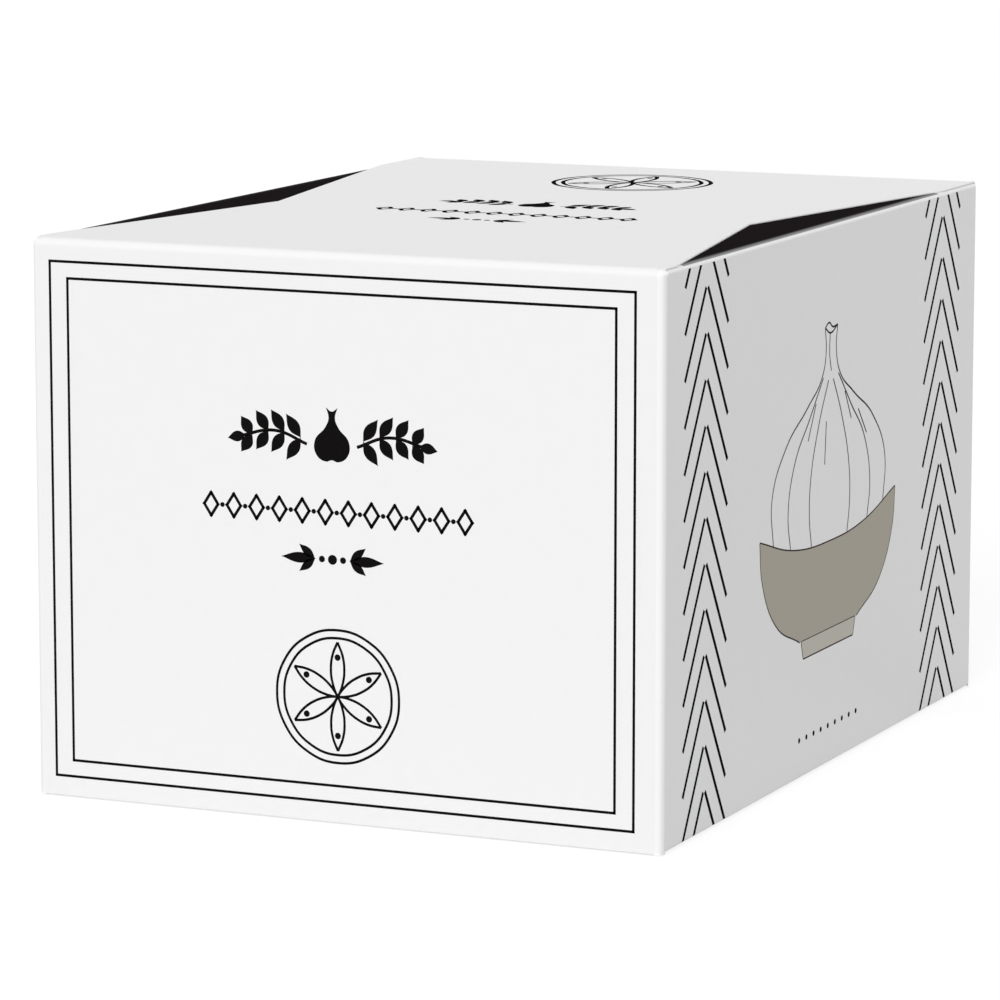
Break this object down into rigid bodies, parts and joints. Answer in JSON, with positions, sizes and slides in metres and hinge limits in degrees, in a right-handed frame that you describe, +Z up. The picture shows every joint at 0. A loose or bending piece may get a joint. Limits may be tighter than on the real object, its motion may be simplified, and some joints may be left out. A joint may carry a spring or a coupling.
{
  "type": "garlic keeper in a folding carton",
  "caption": "White folding carton with a hinged tuck lid and dust flaps; inside, a table-shaped insert holds a lidded stoneware pot with vent holes, which lifts out.",
  "frame": {"origin": "middle of the carton's bottom face, on the surface that it stands on", "axes": "+X to the carton's right as seen from its front, +Y from front to back, +Z up"},
  "size_m": [0.166, 0.222, 0.138],
  "materials": {
    "white_board": "satin clay coat",
    "black_printed_board": "satin black print on white board",
    "black_ink": "matte black ink on white board",
    "taupe_ink": "matte taupe ink on white board",
    "kraft_flute_board": "uncoated kraft",
    "two_tone_glaze": "satin glaze, white above and taupe below",
    "white_glaze": "satin glaze"
  },
  "bodies": {
    "carton": {"front_panel": "white_board", "back_panel": "white_board", "right_panel": "white_board", "left_panel": "white_board", "glue_tab": "white_board", "bottom_front_flap": "white_board", "bottom_back_flap": "white_board", "bottom_right_flap": "white_board", "bottom_left_flap": "white_board", "insert_deck": "kraft_flute_board", "insert_front_leg": "kraft_flute_board", "insert_back_leg": "kraft_flute_board", "insert_right_leg": "kraft_flute_board", "insert_left_leg": "kraft_flute_board"},
    "carton_lid": {"lid_panel": "white_board"},
    "tuck": {"tuck_flap": "white_board"},
    "right_dust": {"right_dust_flap": "black_printed_board"},
    "left_dust": {"left_dust_flap": "black_printed_board"},
    "pot": {"pot_body": "two_tone_glaze"},
    "pot_cover": {"pot_lid": "white_glaze"}
  },
  "joints": [
    {"name": "pot_lift", "type": "slide", "parent": "carton", "child": "pot", "axis": [0, 0, 1], "range_m": [0, 0.15]},
    {"name": "pot_lid_lift", "type": "slide", "parent": "pot", "child": "pot_cover", "axis": [0, 0, 1], "range_m": [0, 0.04]},
    {"name": "lid_hinge", "type": "hinge", "parent": "carton", "child": "carton_lid", "pos_m": [0, -0.11041, 0.13741], "axis": [1, 0, 0], "range_deg": [0, 175]},
    {"name": "tuck_hinge", "type": "hinge", "parent": "carton_lid", "child": "tuck", "pos_m": [0, 0.10976, 0.13756], "axis": [1, 0, 0], "range_deg": [0, 50]},
    {"name": "right_dust_hinge", "type": "hinge", "parent": "carton", "child": "right_dust", "pos_m": [0.08274, 0, 0.13729], "axis": [0, 1, 0], "range_deg": [0, 130]},
    {"name": "left_dust_hinge", "type": "hinge", "parent": "carton", "child": "left_dust", "pos_m": [-0.08274, 0, 0.13729], "axis": [0, -1, 0], "range_deg": [0, 130]}
  ],
  "couplings": [
    {"joint": "pot_lid_lift", "follows": "pot_lift", "ratio": 0.2666},
    {"joint": "lid_hinge", "follows": "pot_lift", "rad_per_m": 20.36},
    {"joint": "tuck_hinge", "follows": "pot_lift", "rad_per_m": 5.817},
    {"joint": "right_dust_hinge", "follows": "pot_lift", "rad_per_m": 15.126},
    {"joint": "left_dust_hinge", "follows": "pot_lift", "rad_per_m": 15.126}
  ]
}
